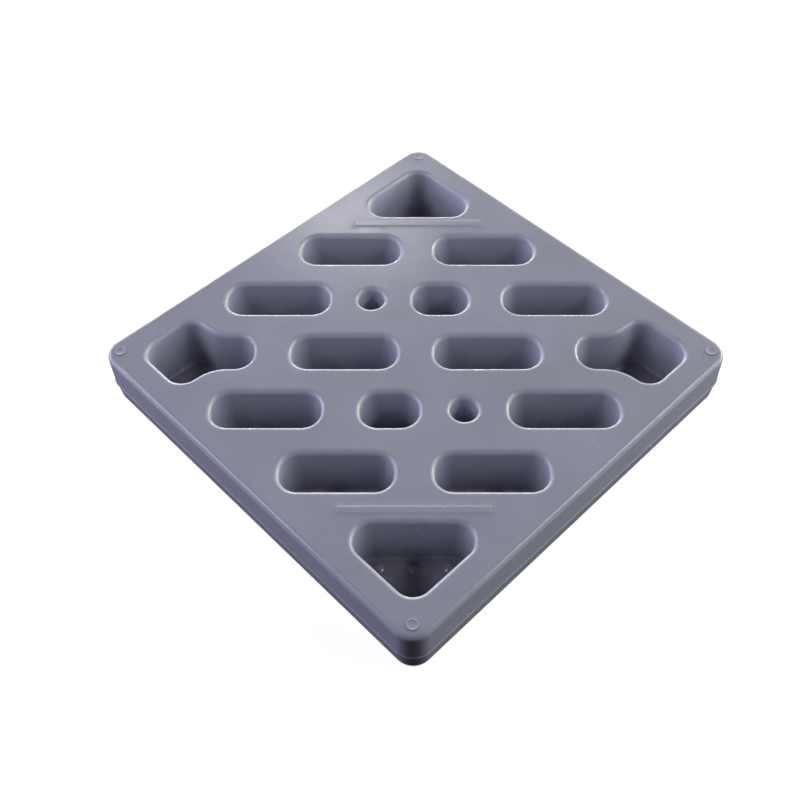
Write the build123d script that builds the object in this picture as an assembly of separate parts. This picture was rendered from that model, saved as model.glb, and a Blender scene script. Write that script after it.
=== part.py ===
from build123d import *
import math
import os

# Square plastic pallet, moulded as two thin-walled shells that meet at a parting line
# around the skirt.  +Z is up and the origin is the centre of the underside.
# Every pocket is laid out in diagonal coordinates: U runs along the diagonal through
# the left and right corners, V along the diagonal through the front and rear corners.

os.makedirs("parts", exist_ok=True)

# Overall, in millimetres.
SIDE = 1100.0
HEIGHT = 150.0
WALL = 4.0
CORNER_RADIUS = 54.0

# Skirt.
PARTING_Z = 56.0
BEAD_PROUD = 1.5
BEAD_HEIGHT = 5.0
SKIRT_DRAFT = 0.9
LOWER_STEP = 1.0
LOWER_DRAFT = 5.0
DECK_EDGE_RADIUS = 13.0
BASE_EDGE_RADIUS = 8.0
TONGUE_THICKNESS = 2.5
TONGUE_HEIGHT = 8.0
TONGUE_ROOT = 10.0
TONGUE_CLEARANCE = 0.5

# Pockets: the row pitch is also the pitch along a row.
PITCH = 175.0
POCKET_DRAFT = 5.0
POCKET_WIDTH = 101.0
LONG_SLOT_LENGTH = 260.0
SHORT_SLOT_LENGTH = 141.0
POCKET_RADIUS = 45.0
LIP_RADIUS = 12.0
FLOOR_RADIUS = 7.0
SHORT_SLOT_U = 60.0
DRAIN_U = 115.0
DRAIN_TOP_RADIUS = 33.5

# Corner pockets: two walls run parallel to the pallet's sides, this far inside them.
EDGE_BAND = 73.0
TRIANGLE_BACK_V = 479.0
SHOULDER_U = 562.0
SHOULDER_V = 112.0
NECK_ROOT_U = 495.0
NECK_ROOT_RADIUS = 108.0
NECK_END_U = 3.0 * PITCH - LONG_SLOT_LENGTH / 2

# Low pads on the deck, beside the front and rear corner pockets.
PAD_LENGTH = 340.0
PAD_WIDTH = 21.0
PAD_HEIGHT = 0.6
PAD_RADIUS = 5.0
PAD_V = 449.5

# Studs that rise from the lower shell through the corner pockets' floors, and their caps.
STUD_RADIUS = 5.0
STUD_LENGTH = 6.5
CAP_RADIUS = 14.0
CAP_HEIGHT = 5.0
CAP_PITCH = 82.0
CAP_CLEARANCE = 0.1
CAP_HEADROOM = 0.3
TRIANGLE_CAP_V = 519.0
HOUSE_CAP_U = 536.0

# Plugs in the deck's corners.
PLUG_INSET = 40.0
PLUG_HEAD_RADIUS = 13.5
PLUG_HEAD_HEIGHT = 2.0
PLUG_EDGE_RADIUS = 1.2
PLUG_STEM_RADIUS = 8.0
PLUG_STEM_LENGTH = 16.0
PLUG_BORE_RADIUS = 5.0
PLUG_BARB_RADIUS = 9.4
PLUG_BARB_GAP = 0.3
PLUG_BARB_HEIGHT = 4.0
PLUG_CLEARANCE = 0.2

# Levels and half widths that follow from the driving sizes.
DECK_Z = HEIGHT - PLUG_HEAD_HEIGHT
BASE_Z = WALL
FLOOR_Z = BASE_Z + WALL
SKIRT_SIDE = SIDE - 2 * BEAD_PROUD
LOWER_SIDE = SKIRT_SIDE - 2 * LOWER_STEP
TONGUE_SIDE = SKIRT_SIDE - 2 * (WALL + TONGUE_CLEARANCE)
CORNER_APEX = (SIDE / 2 - EDGE_BAND) * math.sqrt(2)
DIAGONAL = Rot(0, 0, 45)
MARGIN = 1.0


def rounded_square(side):
    """A square of the given side whose corners stay concentric with the pallet's."""
    return RectangleRounded(side, side, CORNER_RADIUS - (SIDE - side) / 2)


def at(z, shape):
    return Pos(0, 0, z) * shape


def rounded_polygon(corners):
    """A polygon from (u, v, corner radius), each corner rounded by its own radius."""
    face = Polygon(*[(u, v) for u, v, _ in corners], align=None)
    for u, v, radius in corners:
        corner = face.vertices().sort_by_distance((u, v, 0))[0]
        face = fillet(corner, radius)
    return face


def slot(u, v, length):
    return Pos(u, v) * RectangleRounded(length, POCKET_WIDTH, POCKET_RADIUS)


def triangle_pocket():
    """The front or rear corner pocket, with its long wall facing the middle."""
    half_back = CORNER_APEX - TRIANGLE_BACK_V
    return rounded_polygon(
        [
            (-half_back, TRIANGLE_BACK_V, POCKET_RADIUS),
            (half_back, TRIANGLE_BACK_V, POCKET_RADIUS),
            (0, CORNER_APEX, POCKET_RADIUS),
        ]
    )


def house_pocket():
    """The left or right corner pocket: a corner recess that narrows to a slot-wide neck."""
    half = POCKET_WIDTH / 2
    side = [
        (NECK_END_U, half, POCKET_RADIUS),
        (NECK_ROOT_U, half, NECK_ROOT_RADIUS),
        (SHOULDER_U, SHOULDER_V, POCKET_RADIUS),
    ]
    other = [(u, -v, radius) for u, v, radius in reversed(side)]
    return rounded_polygon(side + [(CORNER_APEX, 0, POCKET_RADIUS)] + other)


def corner_pockets():
    turn = Rot(0, 0, 180)
    return [
        turn * triangle_pocket(),
        triangle_pocket(),
        turn * house_pocket(),
        house_pocket(),
    ]


def slots():
    """Long slots in a brick pattern, with two short slots beside the drain holes."""
    faces = []
    for row in (-2, 0, 2):
        faces += [slot(side * PITCH, row * PITCH, LONG_SLOT_LENGTH) for side in (-1, 1)]
    for row in (-1, 1):
        faces += [slot(side * 2 * PITCH, row * PITCH, LONG_SLOT_LENGTH) for side in (-1, 1)]
        faces.append(slot(row * SHORT_SLOT_U, row * PITCH, SHORT_SLOT_LENGTH))
    return faces


def drain_centres():
    return [(-DRAIN_U, PITCH), (DRAIN_U, -PITCH)]


def drain_faces():
    return [Pos(u, v) * Circle(DRAIN_TOP_RADIUS) for u, v in drain_centres()]


def sunk(face, growth, bottom):
    """The drafted space below the deck under one outline, grown by a wall's thickness."""
    outline = offset(face, amount=growth, kind=Kind.ARC) if growth else face
    return extrude(at(DECK_Z, outline), amount=DECK_Z - bottom, dir=(0, 0, -1), taper=POCKET_DRAFT)


def pocket_space(face):
    """The open inside of one pocket, with a rounded edge around its floor."""
    space = sunk(face, 0, FLOOR_Z)
    return fillet(space.edges().group_by(Axis.Z)[0], FLOOR_RADIUS)


def pocket_faces():
    return corner_pockets() + slots()


def on_diagonal(parts):
    return [DIAGONAL * part for part in parts]


def drafted_block(inset):
    """The skirt's outline as a solid block, flared from the parting line to its top face."""
    outline = rounded_square(SKIRT_SIDE - 2 * inset)
    block = extrude(at(BASE_Z, outline), amount=PARTING_Z - BASE_Z)
    block += extrude(
        at(PARTING_Z, outline), amount=DECK_Z - inset - PARTING_Z, taper=SKIRT_DRAFT
    )
    return fillet(block.edges().group_by(Axis.Z)[-1], DECK_EDGE_RADIUS - inset)


def with_openings(block, spaces, lip_radius):
    """The block with the spaces cut out of it and every opening's top edge rounded."""
    block -= on_diagonal(spaces)
    top = block.faces().sort_by(Axis.Z)[-1]
    lips = [edge for wire in top.inner_wires() for edge in wire.edges()]
    return fillet(lips, lip_radius)


def outer_block():
    """Everything inside the moulding's outer faces, less the pockets and drain holes."""
    spaces = [pocket_space(face) for face in pocket_faces()]
    spaces += [sunk(face, 0, 0) for face in drain_faces()]
    return with_openings(drafted_block(0), spaces, LIP_RADIUS)


def cavity():
    """The hollow under the deck, around the outside of every pocket's walls."""
    cups = [sunk(face, WALL, BASE_Z) for face in pocket_faces() + drain_faces()]
    return with_openings(drafted_block(WALL), cups, LIP_RADIUS - WALL)


def below_parting():
    """The frame of space that the lower shell's skirt fills."""
    outside = rounded_square(SIDE + 2 * MARGIN)
    inside = rounded_square(SKIRT_SIDE - EDGE_BAND)
    return extrude(outside - inside, amount=PARTING_Z)


def parting_bead():
    outline = rounded_square(SIDE)
    flare = math.degrees(math.atan(BEAD_PROUD / BEAD_HEIGHT))
    bead = extrude(at(PARTING_Z, outline), amount=BEAD_HEIGHT, taper=flare)
    return bead - extrude(at(PARTING_Z, rounded_square(SKIRT_SIDE - WALL)), amount=BEAD_HEIGHT)


def upright(radius, low, high):
    """A vertical cylinder between two heights, on the Z axis."""
    return at(low, Cylinder(radius, high - low, align=(Align.CENTER, Align.CENTER, Align.MIN)))


def cap_places():
    """The name of each corner pocket, with the three places of its caps."""
    steps = [CAP_PITCH * step for step in (-1, 0, 1)]
    across = [[(step, side * TRIANGLE_CAP_V) for step in steps] for side in (-1, 1)]
    along = [[(side * (HOUSE_CAP_U + step), 0) for step in steps] for side in (-1, 1)]
    return dict(zip(("front", "rear", "left", "right"), across + along))


def plug_places():
    """The name of each corner, with the place of the plug in it."""
    reach = (SIDE / 2 - PLUG_INSET) * math.sqrt(2)
    return {"front": (0, -reach), "rear": (0, reach), "left": (-reach, 0), "right": (reach, 0)}


def placed(shape, places):
    """One copy of the shape at each place given in diagonal coordinates."""
    return [DIAGONAL * Pos(u, v) * shape for u, v in places]


def at_every_cap(shape):
    return placed(shape, [place for places in cap_places().values() for place in places])


def deck_pads():
    pad = extrude(RectangleRounded(PAD_LENGTH, PAD_WIDTH, PAD_RADIUS), amount=PAD_HEIGHT)
    return placed(at(DECK_Z, pad), [(0, -PAD_V), (0, PAD_V)])


def upper_shell():
    """The deck with its pockets, and the skirt down to the parting line."""
    shell = outer_block() - cavity()
    shell -= below_parting()
    shell += parting_bead()
    shell += deck_pads()
    shell -= at_every_cap(upright(STUD_RADIUS + CAP_CLEARANCE, 0, FLOOR_Z + MARGIN))
    plug_hole = upright(PLUG_STEM_RADIUS + PLUG_CLEARANCE, DECK_Z - 2 * WALL, DECK_Z + MARGIN)
    return shell - placed(plug_hole, plug_places().values())


def lower_block(side, bottom):
    """The lower skirt's outline as a solid that narrows downwards from the parting line."""
    return extrude(
        at(PARTING_Z, rounded_square(side)),
        amount=PARTING_Z - bottom,
        dir=(0, 0, -1),
        taper=LOWER_DRAFT,
    )


def tongue():
    """The ring that stands up inside the upper skirt and locates the two shells."""
    ring = rounded_square(TONGUE_SIDE) - rounded_square(TONGUE_SIDE - 2 * TONGUE_THICKNESS)
    return extrude(at(PARTING_Z - TONGUE_ROOT, ring), amount=TONGUE_ROOT + TONGUE_HEIGHT)


def lower_shell():
    """The bottom sheet under the pockets, with its studs and the skirt's lower band."""
    block = lower_block(LOWER_SIDE, 0)
    block = fillet(block.edges().group_by(Axis.Z)[0], BASE_EDGE_RADIUS)
    hollow = lower_block(LOWER_SIDE - 2 * WALL, BASE_Z)
    hollow = fillet(hollow.edges().group_by(Axis.Z)[0], BASE_EDGE_RADIUS - WALL)
    shell = block - hollow + tongue()
    shell -= on_diagonal(sunk(face, 0, -MARGIN) for face in drain_faces())
    return shell + at_every_cap(upright(STUD_RADIUS, 0, BASE_Z + STUD_LENGTH))


def dome(radius, height, base):
    """A spherical cap of the given rim radius, standing on a base height."""
    ball = (radius**2 + height**2) / (2 * height)
    cap = at(base + height - ball, Sphere(ball))
    return cap & upright(radius + MARGIN, base, base + height + MARGIN)


def cap():
    """A domed cap on a pocket's floor, with a blind bore that grips the stud."""
    bore_top = BASE_Z + STUD_LENGTH + CAP_HEADROOM
    bore = upright(STUD_RADIUS + CAP_CLEARANCE, FLOOR_Z - MARGIN, bore_top)
    return dome(CAP_RADIUS, CAP_HEIGHT, FLOOR_Z) - bore


def corner_plug():
    """A push-in plug: flat head on the deck, hollow stem, and a barb under the deck."""
    head = upright(PLUG_HEAD_RADIUS, DECK_Z, HEIGHT)
    head = fillet(head.edges().group_by(Axis.Z)[-1], PLUG_EDGE_RADIUS)
    stem = upright(PLUG_STEM_RADIUS, DECK_Z - PLUG_STEM_LENGTH, DECK_Z)
    barb_top = DECK_Z - WALL - PLUG_BARB_GAP
    barb = at(
        barb_top - PLUG_BARB_HEIGHT,
        Cone(
            PLUG_STEM_RADIUS,
            PLUG_BARB_RADIUS,
            PLUG_BARB_HEIGHT,
            align=(Align.CENTER, Align.CENTER, Align.MIN),
        ),
    )
    bore = upright(PLUG_BORE_RADIUS, DECK_Z - PLUG_STEM_LENGTH - MARGIN, DECK_Z - PLUG_HEAD_HEIGHT)
    return head + stem + barb - bore


def export_node(name, shapes):
    solids = [solid for shape in shapes for solid in shape.solids()]
    export_step(solids[0] if len(solids) == 1 else Compound(solids), f"parts/{name}.step")


export_node("upper_shell", [upper_shell()])
export_node("lower_shell", [lower_shell()])
for corner, places in cap_places().items():
    export_node(f"pocket_caps_{corner}", placed(cap(), places))
for corner, place in plug_places().items():
    export_node(f"deck_plug_{corner}", placed(corner_plug(), [place]))
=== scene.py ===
import math

import bpy
import numpy as np
from mathutils import Matrix, Vector, kdtree, noise
from mathutils.geometry import delaunay_2d_cdt


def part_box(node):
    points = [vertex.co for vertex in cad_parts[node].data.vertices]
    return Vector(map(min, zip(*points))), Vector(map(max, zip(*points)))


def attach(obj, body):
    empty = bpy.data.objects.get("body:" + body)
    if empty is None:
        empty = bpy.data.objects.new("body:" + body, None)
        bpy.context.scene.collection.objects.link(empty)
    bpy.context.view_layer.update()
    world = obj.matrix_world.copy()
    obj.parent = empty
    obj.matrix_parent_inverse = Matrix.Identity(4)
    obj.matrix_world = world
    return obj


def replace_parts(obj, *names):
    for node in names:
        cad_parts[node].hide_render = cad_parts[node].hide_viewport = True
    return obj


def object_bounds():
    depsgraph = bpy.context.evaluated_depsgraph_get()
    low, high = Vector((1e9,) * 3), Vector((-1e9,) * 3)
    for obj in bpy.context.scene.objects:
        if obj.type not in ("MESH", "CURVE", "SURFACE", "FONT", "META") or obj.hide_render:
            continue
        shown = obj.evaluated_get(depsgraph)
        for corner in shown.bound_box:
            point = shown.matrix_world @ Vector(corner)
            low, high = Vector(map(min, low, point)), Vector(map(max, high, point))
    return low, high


# Looks of a square plastic pallet, moulded as two thin-walled shells.
# Everything is in metres, with the origin at the centre of the underside and +Z up.
# Pockets are laid out in diagonal coordinates, as in the CAD: U runs through the left and
# right corners, V through the front and rear ones, and the camera looks along +V.

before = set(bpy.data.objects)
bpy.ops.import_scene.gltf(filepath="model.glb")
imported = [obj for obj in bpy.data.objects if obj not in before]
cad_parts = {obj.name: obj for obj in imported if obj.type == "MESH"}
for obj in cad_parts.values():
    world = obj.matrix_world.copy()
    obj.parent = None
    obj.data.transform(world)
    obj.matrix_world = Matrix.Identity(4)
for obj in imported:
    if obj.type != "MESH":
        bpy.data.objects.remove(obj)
CAD_LOW, CAD_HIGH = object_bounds()

MM = 0.001
CORNERS = ("front", "rear", "left", "right")

# Levels and outer sizes, from the frame. The deck lies just under the tops of its pads.
SIDE = CAD_HIGH.x - CAD_LOW.x
PAD_HEIGHT = 0.6 * MM
DECK_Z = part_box("upper_shell")[1].z - PAD_HEIGHT
BASE_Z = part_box("upper_shell")[0].z
FLOOR_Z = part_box("pocket_caps_front")[0].z
TONGUE_TOP_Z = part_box("lower_shell")[1].z
LOWER_SIDE = 2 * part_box("lower_shell")[1].x
WALL = FLOOR_Z - BASE_Z

# Skirt, with a bead on the parting line, and the tongue inside it.
CORNER_RADIUS = 54 * MM
PARTING_Z = TONGUE_TOP_Z - 8 * MM
BEAD_PROUD = 1.5 * MM
BEAD_HEIGHT = 5 * MM
SKIRT_DRAFT = math.radians(0.9)
LOWER_DRAFT = math.radians(5.0)
DECK_EDGE_RADIUS = 13 * MM
BASE_EDGE_RADIUS = 8 * MM
INNER_CHAMFER = 4 * MM
TONGUE_THICKNESS = 2.5 * MM
TONGUE_DROP = 10 * MM
TONGUE_CLEARANCE = 0.5 * MM
SKIRT_SIDE = SIDE - 2 * BEAD_PROUD
TONGUE_SIDE = SKIRT_SIDE - 2 * (WALL + TONGUE_CLEARANCE)

# The bead's upright face and its slope back to the skirt, as shares of BEAD_PROUD and BEAD_HEIGHT.
BEAD_FACE = ((0.8, 0.0), (1.0, 0.06), (1.0, 0.24))
BEAD_SLOPE = ((0.55, 0.52), (0.1, 0.76))

# Pockets.
PITCH = 175 * MM
POCKET_DRAFT = math.radians(5.0)
POCKET_WIDTH = 101 * MM
LONG_SLOT = 260 * MM
SHORT_SLOT = 141 * MM
POCKET_RADIUS = 45 * MM
LIP_RADIUS = 12 * MM
FLOOR_RADIUS = 7 * MM
SHORT_SLOT_U = 60 * MM
DRAIN_U = 115 * MM
DRAIN_RADIUS = 33.5 * MM
EDGE_BAND = 73 * MM
CORNER_APEX = (SIDE / 2 - EDGE_BAND) * math.sqrt(2)
TRIANGLE_BACK_V = 479 * MM
SHOULDER_U = 562 * MM
SHOULDER_V = 112 * MM
NECK_ROOT_U = 495 * MM
NECK_ROOT_RADIUS = 108 * MM
NECK_END_U = 3 * PITCH - LONG_SLOT / 2

# Pads on the deck.
PAD_LENGTH = 340 * MM
PAD_WIDTH = 21 * MM
PAD_CORNER_RADIUS = 5 * MM
PAD_V = 449.5 * MM
PAD_SLOPE = 3.0 * MM

# Plugs. The dish's section is given inwards and downwards, as shares of its depth.
PLUG_HOLE_RADIUS = 8.2 * MM
PLUG_RIM_RADIUS = 1.2 * MM
PLUG_STEM_RADIUS = 8 * MM
PLUG_BORE_RADIUS = 5 * MM
PLUG_BARB_RADIUS = 9.4 * MM
PLUG_BARB_HEIGHT = 4 * MM
PLUG_BARB_GAP = 0.3 * MM
PLUG_HEAD_THICKNESS = 4 * MM
PLUG_SEAT = 0.2 * MM
PLUG_DISH_DEPTH = 1.0 * MM
PLUG_DISH_INSET = 2.2 * PLUG_RIM_RADIUS
PLUG_DISH_SECTION = ((0.0, 0.0), (0.5, 0.2), (1.7, 0.8), (2.4, 1.0))

# Capped studs.
STUD_RADIUS = 5 * MM
STUD_TOP_Z = BASE_Z + 6.5 * MM
STUD_CHAMFER = 0.5 * MM
FIT = 0.1 * MM
CAP_PITCH = 82 * MM
CAP_RADIUS = 14 * MM
CAP_CHAMFER = 0.2 * MM
CAP_DOME_INSET = 0.4 * MM
CAP_BORE_GAP = 0.3 * MM

# Mesh spacing. SUPPORT is how close the rows beside a bend lie to it, GRID_CLEARANCE is how
# many grid steps a fill's points stay off its rings, and POLE_RADIUS and POLE_SHARE keep the
# last ring of a lathed body off its axis. KEEP_INSIDE is the triangulation's output type.
TURN_STEP = math.radians(6)
STRAIGHT_STEP = 16 * MM
GRID_STEP = 14 * MM
BASE_GRID_STEP = 40 * MM
GRID_CLEARANCE = 0.6
MERGE_DISTANCE = 1e-7
KEEP_INSIDE = 1
ARC_STEPS = 8
SKIRT_STEPS = 6
LOWER_BAND_STEPS = 5
POCKET_STEPS = 7
DRAIN_STEPS = 8
CAP_STEPS = 9
SUPPORT = 1.2 * MM
POLE_RADIUS = 0.6 * MM
POLE_SHARE = 0.6
SHARP_ANGLE = math.radians(38)

# The slow waves of a moulded surface.
WAVE_DEPTH = 0.35 * MM
WAVE_LENGTH = 130 * MM
WAVE_SEED = Vector((3.1, 7.7, 1.3))

# How fast wear grows from a flat towards the middle of a rounded edge.
WEAR_GAIN = 4


# ---------------------------------------------------------------- outlines

def turned(vector, angle):
    return Matrix.Rotation(angle, 2) @ vector


def rounded_outline(corners):
    """Points and outward normals round a polygon of (x, y, radius), counter-clockwise."""
    arcs = []
    for here, before, after in zip(corners, corners[-1:] + corners[:-1], corners[1:] + corners[:1]):
        point = Vector(here[:2])
        into = (point - Vector(before[:2])).normalized()
        out = (Vector(after[:2]) - point).normalized()
        turn = math.atan2(into.x * out.y - into.y * out.x, into.dot(out))
        outward = Vector((into.y, -into.x))
        reach = math.copysign(here[2], turn)
        centre = point - into * abs(reach * math.tan(turn / 2)) - outward * reach
        steps = math.ceil(abs(turn) / TURN_STEP)
        normals = [turned(outward, turn * k / steps) for k in range(steps + 1)]
        arcs.append([(centre + normal * reach, normal) for normal in normals])
    outline = []
    for arc_points, following in zip(arcs, arcs[1:] + arcs[:1]):
        outline += arc_points
        start, normal = arc_points[-1]
        gap = following[0][0] - start
        steps = math.ceil(gap.length / STRAIGHT_STEP)
        outline += [(start + gap * k / steps, normal) for k in range(1, steps)]
    return outline


def rectangle(u, v, length, width, radius):
    corners = [(-1, -1), (1, -1), (1, 1), (-1, 1)]
    return rounded_outline([(u + a * length / 2, v + b * width / 2, radius) for a, b in corners])


def circle(u, v, radius, turn_step=2 * TURN_STEP):
    steps = round(2 * math.pi / turn_step)
    normals = [turned(Vector((1, 0)), 2 * math.pi * k / steps) for k in range(steps)]
    return [(Vector((u, v)) + normal * radius, normal) for normal in normals]


def turned_outline(outline, angle):
    return [(turned(point, angle), turned(normal, angle)) for point, normal in outline]


def on_diagonal(outline):
    """An outline in diagonal coordinates, moved into the frame."""
    return turned_outline(outline, math.pi / 4)


def skirt_outline(side):
    radius = CORNER_RADIUS - (SIDE - side) / 2
    return rectangle(0, 0, side, side, radius)


def triangle_outline():
    half_back = CORNER_APEX - TRIANGLE_BACK_V
    corners = [(half_back, TRIANGLE_BACK_V), (0, CORNER_APEX), (-half_back, TRIANGLE_BACK_V)]
    return rounded_outline([(u, v, POCKET_RADIUS) for u, v in corners])


def house_outline():
    """A corner pocket with a neck as wide as a slot."""
    half = POCKET_WIDTH / 2
    side = [
        (NECK_END_U, -half, POCKET_RADIUS),
        (NECK_ROOT_U, -half, NECK_ROOT_RADIUS),
        (SHOULDER_U, -SHOULDER_V, POCKET_RADIUS),
    ]
    other = [(u, -v, radius) for u, v, radius in reversed(side)]
    return rounded_outline(side + [(CORNER_APEX, 0, POCKET_RADIUS)] + other)


def corner_outlines():
    return {
        "front": turned_outline(triangle_outline(), math.pi),
        "rear": triangle_outline(),
        "left": turned_outline(house_outline(), math.pi),
        "right": house_outline(),
    }


def slot_outlines():
    """Long slots in a brick pattern, with two short slots beside the drain holes."""
    places = [(side * PITCH, row * PITCH, LONG_SLOT) for row in (-2, 0, 2) for side in (-1, 1)]
    places += [(2 * side * PITCH, row * PITCH, LONG_SLOT) for row in (-1, 1) for side in (-1, 1)]
    places += [(row * SHORT_SLOT_U, row * PITCH, SHORT_SLOT) for row in (-1, 1)]
    return [rectangle(u, v, length, POCKET_WIDTH, POCKET_RADIUS) for u, v, length in places]


def drain_outlines():
    return [circle(row * DRAIN_U, -row * PITCH, DRAIN_RADIUS, TURN_STEP) for row in (-1, 1)]


def pad_outlines():
    return [rectangle(0, side * PAD_V, PAD_LENGTH, PAD_WIDTH, PAD_CORNER_RADIUS) for side in (-1, 1)]


# ---------------------------------------------------------------- sections

# A section is a list of rows: the offset from an outline, the height, and the surface normal
# as (outwards, up).
OUT = (1, 0)
UP = (0, 1)
DOWN = (0, -1)


def arc(centre, radius, start, stop):
    """Rows along an arc, in steps of equal turn."""
    rows = []
    for k in range(ARC_STEPS + 1):
        angle = start + (stop - start) * k / ARC_STEPS
        normal = (math.cos(angle), math.sin(angle))
        rows.append((centre[0] + radius * normal[0], centre[1] + radius * normal[1], normal))
    return rows


def between(start, stop, normal, steps):
    """Rows strictly between two points of a section, one surface normal for all."""
    shares = [k / steps for k in range(1, steps)]
    return [
        (start[0] + (stop[0] - start[0]) * t, start[1] + (stop[1] - start[1]) * t, normal)
        for t in shares
    ]


def wall_at(height):
    """How far a drafted pocket wall stands outside its deck-level line at some height."""
    return -(DECK_Z - height) * math.tan(POCKET_DRAFT)


def lip_rows():
    """The rounded edge of an opening in the deck, from the deck down to the wall."""
    centre_offset = LIP_RADIUS * (1 - math.sin(POCKET_DRAFT)) / math.cos(POCKET_DRAFT)
    centre = (centre_offset, DECK_Z - LIP_RADIUS)
    rows = arc(centre, LIP_RADIUS, math.pi / 2, math.pi - POCKET_DRAFT)
    return [(centre_offset + SUPPORT, DECK_Z, UP)] + rows


def wall_rows(rows, low, steps):
    """Rows down a pocket's wall, with support rows close to both of its ends."""
    normal = (-math.cos(POCKET_DRAFT), math.sin(POCKET_DRAFT))
    top = rows[-1][1] - SUPPORT
    heights = [top + (low + SUPPORT - top) * k / steps for k in range(steps + 1)]
    return [(wall_at(z), z, normal) for z in heights]


def floor_bend():
    """The hollow fillet between a pocket's wall and its floor."""
    bend_z = FLOOR_Z + FLOOR_RADIUS
    offset = wall_at(bend_z) - FLOOR_RADIUS / math.cos(POCKET_DRAFT)
    rows = []
    for k in range(ARC_STEPS + 1):
        angle = -POCKET_DRAFT - (math.pi / 2 - POCKET_DRAFT) * k / ARC_STEPS
        toward = (math.cos(angle), math.sin(angle))
        point = (offset + FLOOR_RADIUS * toward[0], bend_z + FLOOR_RADIUS * toward[1])
        rows.append((*point, (-toward[0], -toward[1])))
    return rows


def pocket_rows():
    rows = lip_rows()
    bend = floor_bend()
    rows += wall_rows(rows, bend[0][1], POCKET_STEPS)
    rows += bend
    rows.append((bend[-1][0] - SUPPORT, FLOOR_Z, UP))
    return rows


def drain_rows():
    rows = lip_rows()
    rows += wall_rows(rows, BASE_Z, DRAIN_STEPS)
    rows.append((wall_at(BASE_Z), BASE_Z, rows[-1][2]))
    return rows


def pad_rows():
    """The low slope round a pad, with a narrow band of level pad inside it."""
    tilt = (PAD_HEIGHT / PAD_SLOPE, 1)
    return [
        (0, DECK_Z, UP),
        (-PAD_SLOPE / 4, DECK_Z + PAD_HEIGHT / 4, tilt),
        (-PAD_SLOPE * 3 / 4, DECK_Z + PAD_HEIGHT * 3 / 4, tilt),
        (-PAD_SLOPE, DECK_Z + PAD_HEIGHT, UP),
        (-PAD_SLOPE - SUPPORT, DECK_Z + PAD_HEIGHT, UP),
    ]


def bead_rows(section, normal):
    return [
        (BEAD_PROUD * proud, PARTING_Z + BEAD_HEIGHT * rise, normal) for proud, rise in section
    ]


def skirt_rows():
    """From the bead on the parting line up the skirt and over the deck's edge."""
    sine, cosine = math.sin(SKIRT_DRAFT), math.cos(SKIRT_DRAFT)
    wall = (cosine, sine)
    bend_z = DECK_Z - DECK_EDGE_RADIUS
    offset = -(DECK_EDGE_RADIUS + (bend_z - PARTING_Z) * sine) / cosine
    bend = arc((offset, bend_z), DECK_EDGE_RADIUS, SKIRT_DRAFT, math.pi / 2)
    first = (-(BEAD_HEIGHT + SUPPORT) * sine, PARTING_Z + BEAD_HEIGHT + SUPPORT)
    last = (bend[0][0] + SUPPORT * sine, bend[0][1] - SUPPORT)
    rows = bead_rows(BEAD_FACE, OUT) + bead_rows(BEAD_SLOPE, wall)
    rows.append((-BEAD_HEIGHT * sine, PARTING_Z + BEAD_HEIGHT, wall))
    rows.append((*first, wall))
    rows += between(first, last, wall, SKIRT_STEPS)
    rows.append((*last, wall))
    rows += bend
    rows.append((bend[-1][0] - SUPPORT, DECK_Z, UP))
    return rows


def lower_rows():
    """From the flat base round the lower band and over the tongue to the inside of the base."""
    tangent = math.tan(LOWER_DRAFT)
    bend_offset = -(PARTING_Z - BASE_EDGE_RADIUS) * tangent - BASE_EDGE_RADIUS / math.cos(LOWER_DRAFT)
    bend = arc((bend_offset, BASE_EDGE_RADIUS), BASE_EDGE_RADIUS, -math.pi / 2, -LOWER_DRAFT)
    tongue_out = (TONGUE_SIDE - LOWER_SIDE) / 2
    tongue_in = tongue_out - TONGUE_THICKNESS
    shelf_z = PARTING_Z - TONGUE_DROP
    shelf = -WALL - TONGUE_DROP * tangent
    foot = -WALL - (PARTING_Z - BASE_Z) * tangent
    rows = [(bend[0][0] - SUPPORT, 0.0, DOWN)] + bend
    rows += between(bend[-1][:2], (0.0, PARTING_Z), OUT, LOWER_BAND_STEPS)
    rows += [
        (0.0, PARTING_Z, OUT),
        (tongue_out, PARTING_Z, UP),
        (tongue_out, TONGUE_TOP_Z, UP),
        (tongue_in, TONGUE_TOP_Z, UP),
        (tongue_in, shelf_z, UP),
        (shelf, shelf_z, UP),
        (foot, BASE_Z + INNER_CHAMFER, UP),
        (foot - INNER_CHAMFER, BASE_Z, UP),
    ]
    return rows


# ---------------------------------------------------------------- skins

def inside(points, loop):
    """Which points lie inside a closed loop, by counting crossings."""
    x, y = points[:, :1], points[:, 1:]
    ax, ay = loop[:, 0], loop[:, 1]
    bx, by = np.roll(ax, -1), np.roll(ay, -1)
    spans = (ay > y) != (by > y)
    rise = np.where(by == ay, 1.0, by - ay)
    crossing = ax + (y - ay) * (bx - ax) / rise
    return (spans & (x < crossing)).sum(axis=1) % 2 == 1


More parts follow.
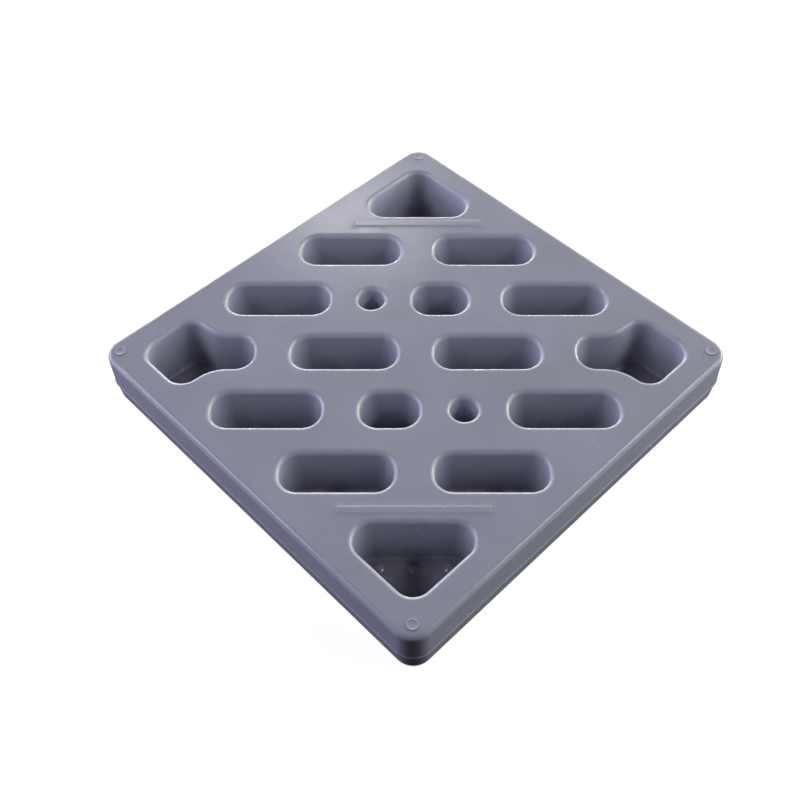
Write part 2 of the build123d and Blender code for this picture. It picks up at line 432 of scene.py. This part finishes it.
class Skin:
    """A surface of rings and fills, which can be closed into a thin wall."""

    def __init__(self):
        self.points = []
        self.normals = []
        self.faces = []
        self.worn = []
        self.upright = []

    def add_point(self, point, normal, worn=0.0, upright=0.0):
        self.points.append(point)
        self.normals.append(normal)
        self.worn.append(worn)
        self.upright.append(upright)
        return len(self.points) - 1

    def ring(self, outline, offset, height, normal, worn=0.0):
        made = []
        for point, outward in outline:
            moved = point + outward * offset
            across = outward * normal[0]
            faces_to = Vector((across.x, across.y, normal[1])).normalized()
            place = Vector((moved.x, moved.y, height))
            made.append(self.add_point(place, faces_to, worn, abs(normal[0])))
        return made

    def band(self, ring, following):
        for k in range(len(ring)):
            nxt = (k + 1) % len(ring)
            self.faces.append((ring[k], ring[nxt], following[nxt], following[k]))

    def bands(self, rings):
        for ring, following in zip(rings, rings[1:]):
            self.band(ring, following)

    def sweep(self, outline, rows):
        """Rings for every row of a section, joined up. Returns the first and last ring."""
        rings = [self.ring(outline, d, z, n, wear_of(n)) for d, z, n in rows]
        self.bands(rings)
        return rings[0], rings[-1]

    def plan(self, ring):
        return np.array([self.points[k][:2] for k in ring])

    def fill(self, border, holes, step=GRID_STEP):
        """A level sheet inside a border ring, around the hole rings."""
        loops = [border] + holes
        height = self.points[border[0]].z
        plans = [self.plan(loop) for loop in loops]
        near = kdtree.KDTree(sum(len(loop) for loop in loops))
        for x, y in np.concatenate(plans):
            near.insert((x, y, 0), 0)
        near.balance()
        low, high = plans[0].min(axis=0), plans[0].max(axis=0)
        counts = np.ceil((high - low) / step).astype(int)
        xs = np.linspace(low[0], high[0], counts[0] + 1)
        ys = np.linspace(low[1], high[1], counts[1] + 1)
        grid = np.stack(np.meshgrid(xs, ys), axis=-1).reshape(-1, 2)
        wanted = inside(grid, plans[0])
        for plan in plans[1:]:
            wanted &= ~inside(grid, plan)
        clear = GRID_CLEARANCE * step
        grid = [p for p in grid[wanted] if near.find((p[0], p[1], 0))[2] > clear]
        indices = [k for loop in loops for k in loop]
        for x, y in grid:
            indices.append(self.add_point(Vector((x, y, height)), Vector((0, 0, 1))))
        self.triangulate(indices, loops, plans)

    def triangulate(self, indices, loops, plans):
        """Triangles between the loops and the grid, without those that fall in a hole."""
        flat = [self.points[k].to_2d() for k in indices]
        edges, start, owner = [], 0, []
        for number, loop in enumerate(loops):
            count = len(loop)
            edges += [(start + k, start + (k + 1) % count) for k in range(count)]
            owner += [number] * count
            start += count
        owner += [-1] * (len(indices) - start)
        cut = delaunay_2d_cdt(flat, edges, [], KEEP_INSIDE, MERGE_DISTANCE)
        triangles, origins = cut[2], cut[3]
        source = [group[0] for group in origins]
        made = [[source[k] for k in triangle] for triangle in triangles]
        centres = np.array([sum((flat[k] for k in t), Vector((0, 0))) / 3 for t in made])
        for triangle, centre in zip(made, centres):
            owners = {owner[k] for k in triangle}
            number = owners.pop() if len(owners) == 1 else -1
            if number >= 0:
                within = inside(centre[None], plans[number])[0]
                if within != (number == 0):
                    continue
            a, b, c = (flat[k] for k in triangle)
            turned_up = triangle if (b - a).cross(c - a) > 0 else triangle[::-1]
            self.faces.append(tuple(indices[k] for k in turned_up))

    def sink(self, depth, length, seed):
        """Moves the surface inwards by a slow wave, as a moulding's skin pulls in."""
        for k, (point, normal) in enumerate(zip(self.points, self.normals)):
            wave = 0.5 + 0.5 * noise.noise(point / length + seed)
            self.points[k] = point - normal * depth * min(max(wave, 0.0), 1.0)

    def close(self, thickness):
        """Adds the inner side of the wall and joins the two along every open edge."""
        count = len(self.points)
        sides = [side for face in self.faces for side in zip(face, face[1:] + face[:1])]
        known = set(sides)
        open_sides = [(a, b) for a, b in sides if (b, a) not in known]
        inner = [tuple(k + count for k in reversed(face)) for face in self.faces]
        self.points += [p - n * thickness for p, n in zip(self.points, self.normals)]
        self.worn += [0.0] * count
        self.upright += self.upright
        rim = [(b, a, a + count, b + count) for a, b in open_sides]
        self.faces += inner + rim

    def mesh(self, title):
        mesh = bpy.data.meshes.new(title)
        mesh.from_pydata([tuple(point) for point in self.points], [], self.faces)
        mesh.shade_smooth()
        return mesh

    def piece(self, title):
        """An object that rides on the pallet, with the values that its plastic reads."""
        mesh = self.mesh(title)
        # Painted shade: the plastic is painted darker the deeper a point lies in a pocket.
        pocket_depth_shade = [depth_in_pocket(point) for point in self.points]
        for name, values in (("wear", self.worn), ("upright", self.upright), ("pocket_depth_shade", pocket_depth_shade)):
            mesh.attributes.new(name, "FLOAT", "POINT").data.foreach_set("value", values)
        mesh.set_sharp_from_angle(angle=SHARP_ANGLE)
        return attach(in_scene(title, mesh), "root")


def in_scene(name, data):
    thing = bpy.data.objects.new(name, data)
    bpy.context.scene.collection.objects.link(thing)
    return thing


def depth_in_pocket(point):
    """How far down a pocket a point lies, from 0 at the deck to 1 at the floor."""
    if max(abs(point.x), abs(point.y)) > SIDE / 2 - EDGE_BAND:
        return 0.0
    return min(1.0, max(0.0, (DECK_Z - point.z) / (DECK_Z - FLOOR_Z)))


def wear_of(normal):
    """Full wear where a rounded edge is about half way from level to upright, none on flats."""
    return min(1.0, WEAR_GAIN * abs(normal[0] * normal[1]))


# ---------------------------------------------------------------- pieces

def centre_of(node):
    low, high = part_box(node)
    return (low + high) / 2


def cap_centres(corner):
    """The three cap places of one corner pocket, in frame coordinates."""
    middle = centre_of(f"pocket_caps_{corner}").to_2d()
    along = Vector((1, 1)).normalized() * CAP_PITCH
    return [middle + along * step for step in (-1, 0, 1)]


def upper_skin():
    """The deck with all its pockets, drains and pads, and the skirt down to its bead."""
    skin = Skin()
    border = skin.sweep(skirt_outline(SKIRT_SIDE), skirt_rows())[1]
    holes = []
    for outline in slot_outlines():
        first, last = skin.sweep(on_diagonal(outline), pocket_rows())
        holes.append(first)
        skin.fill(last, [])
    for corner, outline in corner_outlines().items():
        first, last = skin.sweep(on_diagonal(outline), pocket_rows())
        holes.append(first)
        studs = [circle(c.x, c.y, STUD_RADIUS + FIT) for c in cap_centres(corner)]
        skin.fill(last, [skin.ring(stud, 0, FLOOR_Z, UP) for stud in studs])
    for outline in drain_outlines():
        holes.append(skin.sweep(on_diagonal(outline), drain_rows())[0])
    for outline in pad_outlines():
        first, last = skin.sweep(on_diagonal(outline), pad_rows())
        holes.append(first)
        skin.fill(last, [])
    for corner in CORNERS:
        centre = centre_of(f"deck_plug_{corner}")
        holes.append(skin.ring(circle(centre.x, centre.y, PLUG_HOLE_RADIUS), 0, DECK_Z, UP))
    skin.fill(border, holes)
    skin.sink(WAVE_DEPTH, WAVE_LENGTH, WAVE_SEED)
    skin.close(WALL)
    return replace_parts(skin.piece("deck_moulding"), "upper_shell")


def add_stud(skin, centre):
    """A stud on the inside of the base. Returns the ring at its foot."""
    outline = circle(centre.x, centre.y, STUD_RADIUS)
    rings = [
        skin.ring(outline, 0, BASE_Z, OUT),
        skin.ring(outline, 0, STUD_TOP_Z - STUD_CHAMFER, OUT),
        skin.ring(outline, -STUD_CHAMFER, STUD_TOP_Z, UP),
    ]
    skin.bands(rings)
    skin.faces.append(tuple(rings[-1]))
    return rings[0]


def add_base_drain(skin, outline):
    """A drain hole through the base. Returns the rings at its top and bottom."""
    rings = [skin.ring(on_diagonal(outline), wall_at(z), z, (-1, 0)) for z in (BASE_Z, 0.0)]
    skin.bands(rings)
    return rings


def lower_skin():
    """The lower band, the flat base with its drain holes, the tongue and the studs."""
    skin = Skin()
    bottom, top = skin.sweep(skirt_outline(LOWER_SIDE), lower_rows())
    feet = [add_stud(skin, centre) for corner in CORNERS for centre in cap_centres(corner)]
    drains = [add_base_drain(skin, outline) for outline in drain_outlines()]
    skin.fill(top, feet + [rings[0] for rings in drains], BASE_GRID_STEP)
    upward = len(skin.faces)
    skin.fill(bottom, [rings[1] for rings in drains], BASE_GRID_STEP)
    skin.faces[upward:] = [face[::-1] for face in skin.faces[upward:]]
    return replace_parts(skin.piece("base_moulding"), "lower_shell")


def lathe(skin, centre, rows):
    """A closed body of revolution from rows of radius and height, small flats at the poles."""
    rings = [skin.ring(circle(centre.x, centre.y, radius), 0, z, UP) for radius, z in rows]
    skin.bands(rings)
    skin.faces.append(tuple(reversed(rings[0])))
    skin.faces.append(tuple(rings[-1]))


def plug(corner):
    """A push-in plug: a dished head with a rounded rim, a hollow stem and a barb."""
    node = f"deck_plug_{corner}"
    low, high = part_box(node)
    radius = (high.x - low.x) / 2
    stem_top = DECK_Z - PLUG_SEAT
    barb_z = DECK_Z - WALL - PLUG_BARB_GAP
    bore_top = high.z - PLUG_HEAD_THICKNESS
    rim_centre = (radius - PLUG_RIM_RADIUS, high.z - PLUG_RIM_RADIUS)
    dish = radius - PLUG_DISH_INSET
    rows = [
        (POLE_RADIUS, bore_top),
        (PLUG_BORE_RADIUS, bore_top),
        (PLUG_BORE_RADIUS, low.z),
        (PLUG_STEM_RADIUS, low.z),
        (PLUG_STEM_RADIUS, barb_z - PLUG_BARB_HEIGHT),
        (PLUG_BARB_RADIUS, barb_z),
        (PLUG_STEM_RADIUS, barb_z),
        (PLUG_STEM_RADIUS, stem_top),
        (radius - PLUG_SEAT, stem_top),
        (radius, DECK_Z),
    ]
    rows += [row[:2] for row in arc(rim_centre, PLUG_RIM_RADIUS, 0, math.pi / 2)]
    for inward, down in PLUG_DISH_SECTION:
        rows.append((dish - inward * PLUG_DISH_DEPTH, high.z - down * PLUG_DISH_DEPTH))
    rows.append((POLE_RADIUS, high.z - PLUG_DISH_DEPTH))
    skin = Skin()
    lathe(skin, centre_of(node), rows)
    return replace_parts(skin.piece(f"plug_{corner}"), node)


def caps(corner):
    """The three domed caps on one corner pocket's floor, each bored for its stud."""
    node = f"pocket_caps_{corner}"
    low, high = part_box(node)
    height = high.z - low.z
    ball = (CAP_RADIUS**2 + height**2) / (2 * height)
    rim = math.asin((CAP_RADIUS - CAP_DOME_INSET) / ball)
    bore = STUD_RADIUS + FIT
    bore_top = STUD_TOP_Z + CAP_BORE_GAP
    rows = [
        (POLE_RADIUS, bore_top),
        (bore, bore_top),
        (bore, low.z),
        (CAP_RADIUS - CAP_CHAMFER, low.z),
        (CAP_RADIUS, low.z + CAP_CHAMFER),
    ]
    for k in range(CAP_STEPS):
        angle = rim * (1 - k / (CAP_STEPS - POLE_SHARE))
        rows.append((ball * math.sin(angle), high.z - ball * (1 - math.cos(angle))))
    skin = Skin()
    for centre in cap_centres(corner):
        lathe(skin, centre, rows)
    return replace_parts(skin.piece(f"caps_{corner}"), node)


# ---------------------------------------------------------------- materials

class Nodes:
    """A short way to write a material's node tree."""

    def __init__(self, tree):
        self.tree = tree

    def add(self, kind, inputs=None, **settings):
        node = self.tree.nodes.new(kind)
        for key, value in settings.items():
            setattr(node, key, value)
        for key, value in (inputs or {}).items():
            self.feed(node.inputs[key], value)
        return node

    def feed(self, socket, value):
        """Links a socket to another, or sets it to a plain value."""
        if isinstance(value, bpy.types.NodeSocket):
            self.tree.links.new(value, socket)
        else:
            socket.default_value = value

    def noise(self, place, scale, detail=4.0, roughness=0.55):
        inputs = {"Vector": place, "Scale": scale, "Detail": detail, "Roughness": roughness}
        return self.add("ShaderNodeTexNoise", inputs).outputs["Fac"]

    def spread(self, value, low, high, to_low=0.0, to_high=1.0):
        inputs = {
            "Value": value,
            "From Min": low,
            "From Max": high,
            "To Min": to_low,
            "To Max": to_high,
        }
        return self.add("ShaderNodeMapRange", inputs, clamp=True).outputs["Result"]

    def math(self, operation, a, b):
        return self.add("ShaderNodeMath", {0: a, 1: b}, operation=operation).outputs[0]

    def attribute(self, name):
        return self.add("ShaderNodeAttribute", attribute_name=name).outputs["Fac"]

    def blend(self, share, a, b):
        """Mixes two colours. The numbers are the colour sockets of a Mix node."""
        node = self.add("ShaderNodeMix", data_type="RGBA")
        for number, value in ((0, share), (6, a), (7, b)):
            self.feed(node.inputs[number], value)
        return node.outputs[2]

    def stretched(self, place, angle, scale):
        inputs = {"Vector": place, "Rotation": (0, 0, angle), "Scale": scale}
        return self.add("ShaderNodeMapping", inputs).outputs["Vector"]


LILAC_CAST = (0.96, 0.965, 1.19)
SCRATCH_CAST = (1, 1, 1.04)
RUBBED_CAST = (1, 1, 1.05)
# The tint of the painted shade down the pockets.
SHADE_CAST = (1, 1, 1.08)


def grey(level, cast=LILAC_CAST):
    return (level * cast[0], level * cast[1], level * cast[2], 1.0)


def scratch_lines(n, place):
    """Two crossing families of fine long scratches, from 0 to 1."""
    along = n.stretched(place, angle=0.7, scale=(9.0, 240.0, 40.0))
    across = n.stretched(place, angle=-0.5, scale=(200.0, 7.0, 40.0))
    strokes = n.noise(along, scale=1.0, detail=3.0, roughness=0.6)
    cross = n.noise(across, scale=1.0, detail=3.0, roughness=0.6)
    return n.math("MAXIMUM", n.spread(strokes, 0.66, 0.8), n.spread(cross, 0.69, 0.82))


def painted_shade_in_pockets(n, place):
    """Painted shade: how much darker a spot is painted, more towards a pocket's floor, with faint
    upright streaks.
    """
    streaks = n.noise(n.stretched(place, angle=0.0, scale=(30.0, 30.0, 6.0)), scale=1.0)
    depth = n.math("POWER", n.attribute("pocket_depth_shade"), 1.6)
    return n.math("MULTIPLY", depth, n.spread(streaks, 0.3, 0.7, to_low=0.75))


def plastic_colour(n, place, level, scuff):
    """Cloudy grey with speckle, scuffs and rubbed edges, painted lighter on steep faces and painted
    darker down the pockets.
    """
    cloud = n.spread(n.noise(place, scale=5.0, detail=3.0), 0.35, 0.65)
    colour = n.blend(cloud, grey(level * 0.94), grey(level * 1.06))
    # Painted light: faces are painted lighter the more upright they stand, up to half again as light
    # as level ones.
    colour = n.blend(n.attribute("upright"), colour, grey(level * 1.5))
    # Painted shade: darker down the pockets towards their floors, with faint streaks.
    colour = n.blend(painted_shade_in_pockets(n, place), colour, grey(level * 0.42, SHADE_CAST))
    speckle = n.spread(n.noise(place, scale=260.0, detail=2.0), 0.3, 0.7, to_high=0.35)
    colour = n.blend(speckle, colour, grey(level * 0.85))
    colour = n.blend(scuff, colour, grey(level * 1.9, SCRATCH_CAST))
    patchy = n.spread(n.noise(place, scale=24.0, detail=5.0), 0.42, 0.75)
    rubbed = n.math("MULTIPLY", n.attribute("wear"), patchy)
    return n.blend(n.math("MULTIPLY", rubbed, 0.3), colour, grey(level * 1.5, RUBBED_CAST))


def plastic_roughness(n, place, scuff):
    """Semi-gloss with slightly duller smears, and duller again where it is scuffed."""
    smear = n.noise(place, scale=14.0, detail=5.0, roughness=0.6)
    gloss = n.spread(smear, 0.3, 0.7, to_low=0.20, to_high=0.28)
    return n.math("ADD", gloss, n.math("MULTIPLY", scuff, 0.25))


def plastic_bump(n, place, lines):
    """The fine orange peel of a moulded skin, with the scratches cut in."""
    peel = n.noise(place, scale=420.0, detail=2.0)
    ripple = n.noise(place, scale=60.0, detail=3.0)
    height = n.math("ADD", n.math("MULTIPLY", peel, 0.35), ripple)
    height = n.math("ADD", height, n.math("MULTIPLY", lines, 0.15))
    bump = n.add("ShaderNodeBump", {"Height": height, "Strength": 0.12, "Distance": 0.6 * MM})
    return bump.outputs["Normal"]


def moulded_plastic(name, level, scuffs=1.0):
    """Grey moulded polyethylene of a given level of grey and amount of scuffs."""
    material = bpy.data.materials.new(name)
    material.use_nodes = True
    shader = material.node_tree.nodes["Principled BSDF"]
    n = Nodes(material.node_tree)
    place = n.add("ShaderNodeTexCoord").outputs["Object"]
    lines = scratch_lines(n, place)
    patches = n.spread(n.noise(place, scale=3.2, roughness=0.6), 0.5, 0.68)
    scuff = n.math("MULTIPLY", n.math("MULTIPLY", lines, patches), 0.55 * scuffs)
    n.feed(shader.inputs["Base Color"], plastic_colour(n, place, level, scuff))
    n.feed(shader.inputs["Roughness"], plastic_roughness(n, place, scuff))
    n.feed(shader.inputs["Normal"], plastic_bump(n, place, lines))
    shader.inputs["IOR"].default_value = 1.52
    shader.inputs["Specular IOR Level"].default_value = 0.5
    return material


def studio_floor():
    material = bpy.data.materials.new("studio_floor")
    material.use_nodes = True
    shader = material.node_tree.nodes["Principled BSDF"]
    shader.inputs["Base Color"].default_value = (0.86, 0.86, 0.87, 1.0)
    shader.inputs["Roughness"].default_value = 0.9
    shader.inputs["Specular IOR Level"].default_value = 0.0
    shader.inputs["Emission Color"].default_value = (1.0, 1.0, 1.0, 1.0)
    shader.inputs["Emission Strength"].default_value = 0.75
    return material


# ---------------------------------------------------------------- studio

# The floor is open under the base, because the two would share a plane there.
FLOOR_UNDERLAP = 14 * MM
COVE_REACH = 9.0
COVE_BEND = 2.0
COVE_HEIGHT = 7.0


def floor():
    """A pale studio floor that curves up into a wall all round."""
    rows = [(COVE_REACH + COVE_BEND, COVE_HEIGHT, UP)]
    for k in range(ARC_STEPS + 1):
        turn = math.pi / 2 * (1 - k / ARC_STEPS)
        reach = COVE_REACH + COVE_BEND * math.sin(turn)
        rows.append((reach, COVE_BEND * (1 - math.cos(turn)), UP))
    rows.append((0.0, 0.0, UP))
    skin = Skin()
    skin.sweep(skirt_outline(LOWER_SIDE - 2 * FLOOR_UNDERLAP), rows)
    mesh = skin.mesh("floor")
    mesh.materials.append(studio_floor())
    sheet = in_scene("floor", mesh)
    sheet.visible_diffuse = False
    sheet.visible_glossy = False


LIGHT_AIM = Vector((0.0, 0.0, 0.1))
WHITE = (1.0, 1.0, 1.0)
COOL_WHITE = (0.96, 0.98, 1.0)
GREEN_WHITE = (0.97, 1.0, 0.97)
PALE_LILAC = (0.95, 0.95, 1.0)
LILAC = (0.80, 0.79, 1.0)
CREAM = (1.0, 0.99, 0.66)
YELLOW = (1.0, 1.0, 0.55)

# Name, azimuth from +V towards +U and elevation in degrees, distance, width and height in
# metres, radiance, colour. Low strips behind draw the rims, side panels light the deck, and
# the front stays dark.
LIGHTS = (
    ("rear_strip", -12, 4, 6.5, 6.0, 0.7, 26.0, WHITE),
    ("rear_left_fill", -22, 24, 6.5, 4.0, 2.2, 1.4, WHITE),
    ("rear_right_fill", 22, 24, 6.5, 4.0, 2.2, 1.3, YELLOW),
    ("left_strip", -56, 8, 6.0, 2.4, 0.8, 8.0, PALE_LILAC),
    ("right_strip", 52, 8, 6.0, 2.8, 0.9, 18.0, CREAM),
    ("left_panel", -80, 12, 5.0, 2.8, 2.0, 5.2, LILAC),
    ("right_panel", 78, 12, 5.0, 2.8, 2.0, 5.0, GREEN_WHITE),
    ("left_high_panel", -94, 42, 5.0, 2.6, 0.5, 17.0, LILAC),
    ("right_high_panel", 94, 42, 5.0, 2.6, 0.5, 17.0, COOL_WHITE),
    ("rear_left_panel", -8, 39.5, 3.6, 0.7, 0.28, 11.0, WHITE),
)


def panel_light(name, azimuth, elevation, distance, width, height, radiance, colour):
    """A soft rectangular light that faces the pallet."""
    light = bpy.data.lights.new(name, "AREA")
    light.shape = "RECTANGLE"
    light.size = width
    light.size_y = height
    light.energy = radiance * width * height * math.pi
    light.color = colour
    around, up = math.radians(azimuth), math.radians(elevation)
    level = math.cos(up) * distance
    u, v = math.sin(around) * level, math.cos(around) * level
    lamp = in_scene(name, light)
    lamp.location = ((u - v) / math.sqrt(2), (u + v) / math.sqrt(2), math.sin(up) * distance)
    lamp.rotation_mode = "QUATERNION"
    lamp.rotation_quaternion = (LIGHT_AIM - lamp.location).to_track_quat("-Z", "Y")


def studio_world():
    """A nearly black surround, and plain colours as they come."""
    world = bpy.data.worlds.new("studio")
    world.use_nodes = True
    background = world.node_tree.nodes["Background"]
    background.inputs["Color"].default_value = (0.93, 0.94, 1.0, 1.0)
    background.inputs["Strength"].default_value = 0.02
    bpy.context.scene.world = world
    bpy.context.scene.view_settings.view_transform = "Standard"
    bpy.context.scene.view_settings.look = "None"


CAMERA_AZIMUTH = math.radians(45)
CAMERA_ELEVATION = math.radians(52.83)
CAMERA_DISTANCE = 2.692
CAMERA_ASIDE = 0.0411
CAMERA_LIFT = -0.0294
LENS = 47.46
SENSOR_WIDTH = 36.0
FRAME_SHIFT = -0.0408


def camera():
    """A camera above the front corner, level from side to side."""
    level = math.cos(CAMERA_ELEVATION)
    east, north = math.sin(CAMERA_AZIMUTH) * level, -math.cos(CAMERA_AZIMUTH) * level
    back = Vector((east, north, math.sin(CAMERA_ELEVATION)))
    right = Vector((0, 0, 1)).cross(back).normalized()
    up = back.cross(right)
    data = bpy.data.cameras.new("camera")
    data.lens = LENS
    data.sensor_width = SENSOR_WIDTH
    data.shift_x = FRAME_SHIFT
    holder = in_scene("camera", data)
    holder.location = back * CAMERA_DISTANCE + right * CAMERA_ASIDE + up * CAMERA_LIFT
    holder.rotation_mode = "QUATERNION"
    holder.rotation_quaternion = (-back).to_track_quat("-Z", "Y")
    bpy.context.scene.camera = holder


def dress(piece, material):
    piece.data.materials.append(material)


camera()
floor()
studio_world()
for light_row in LIGHTS:
    panel_light(*light_row)
dress(upper_skin(), moulded_plastic("deck_plastic", level=0.43))
dress(lower_skin(), moulded_plastic("base_plastic", level=0.42))
plug_plastic = moulded_plastic("plug_plastic", level=0.46, scuffs=0.4)
cap_plastic = moulded_plastic("cap_plastic", level=0.44, scuffs=0.3)
for corner_name in CORNERS:
    dress(plug(corner_name), plug_plastic)
    dress(caps(corner_name), cap_plastic)
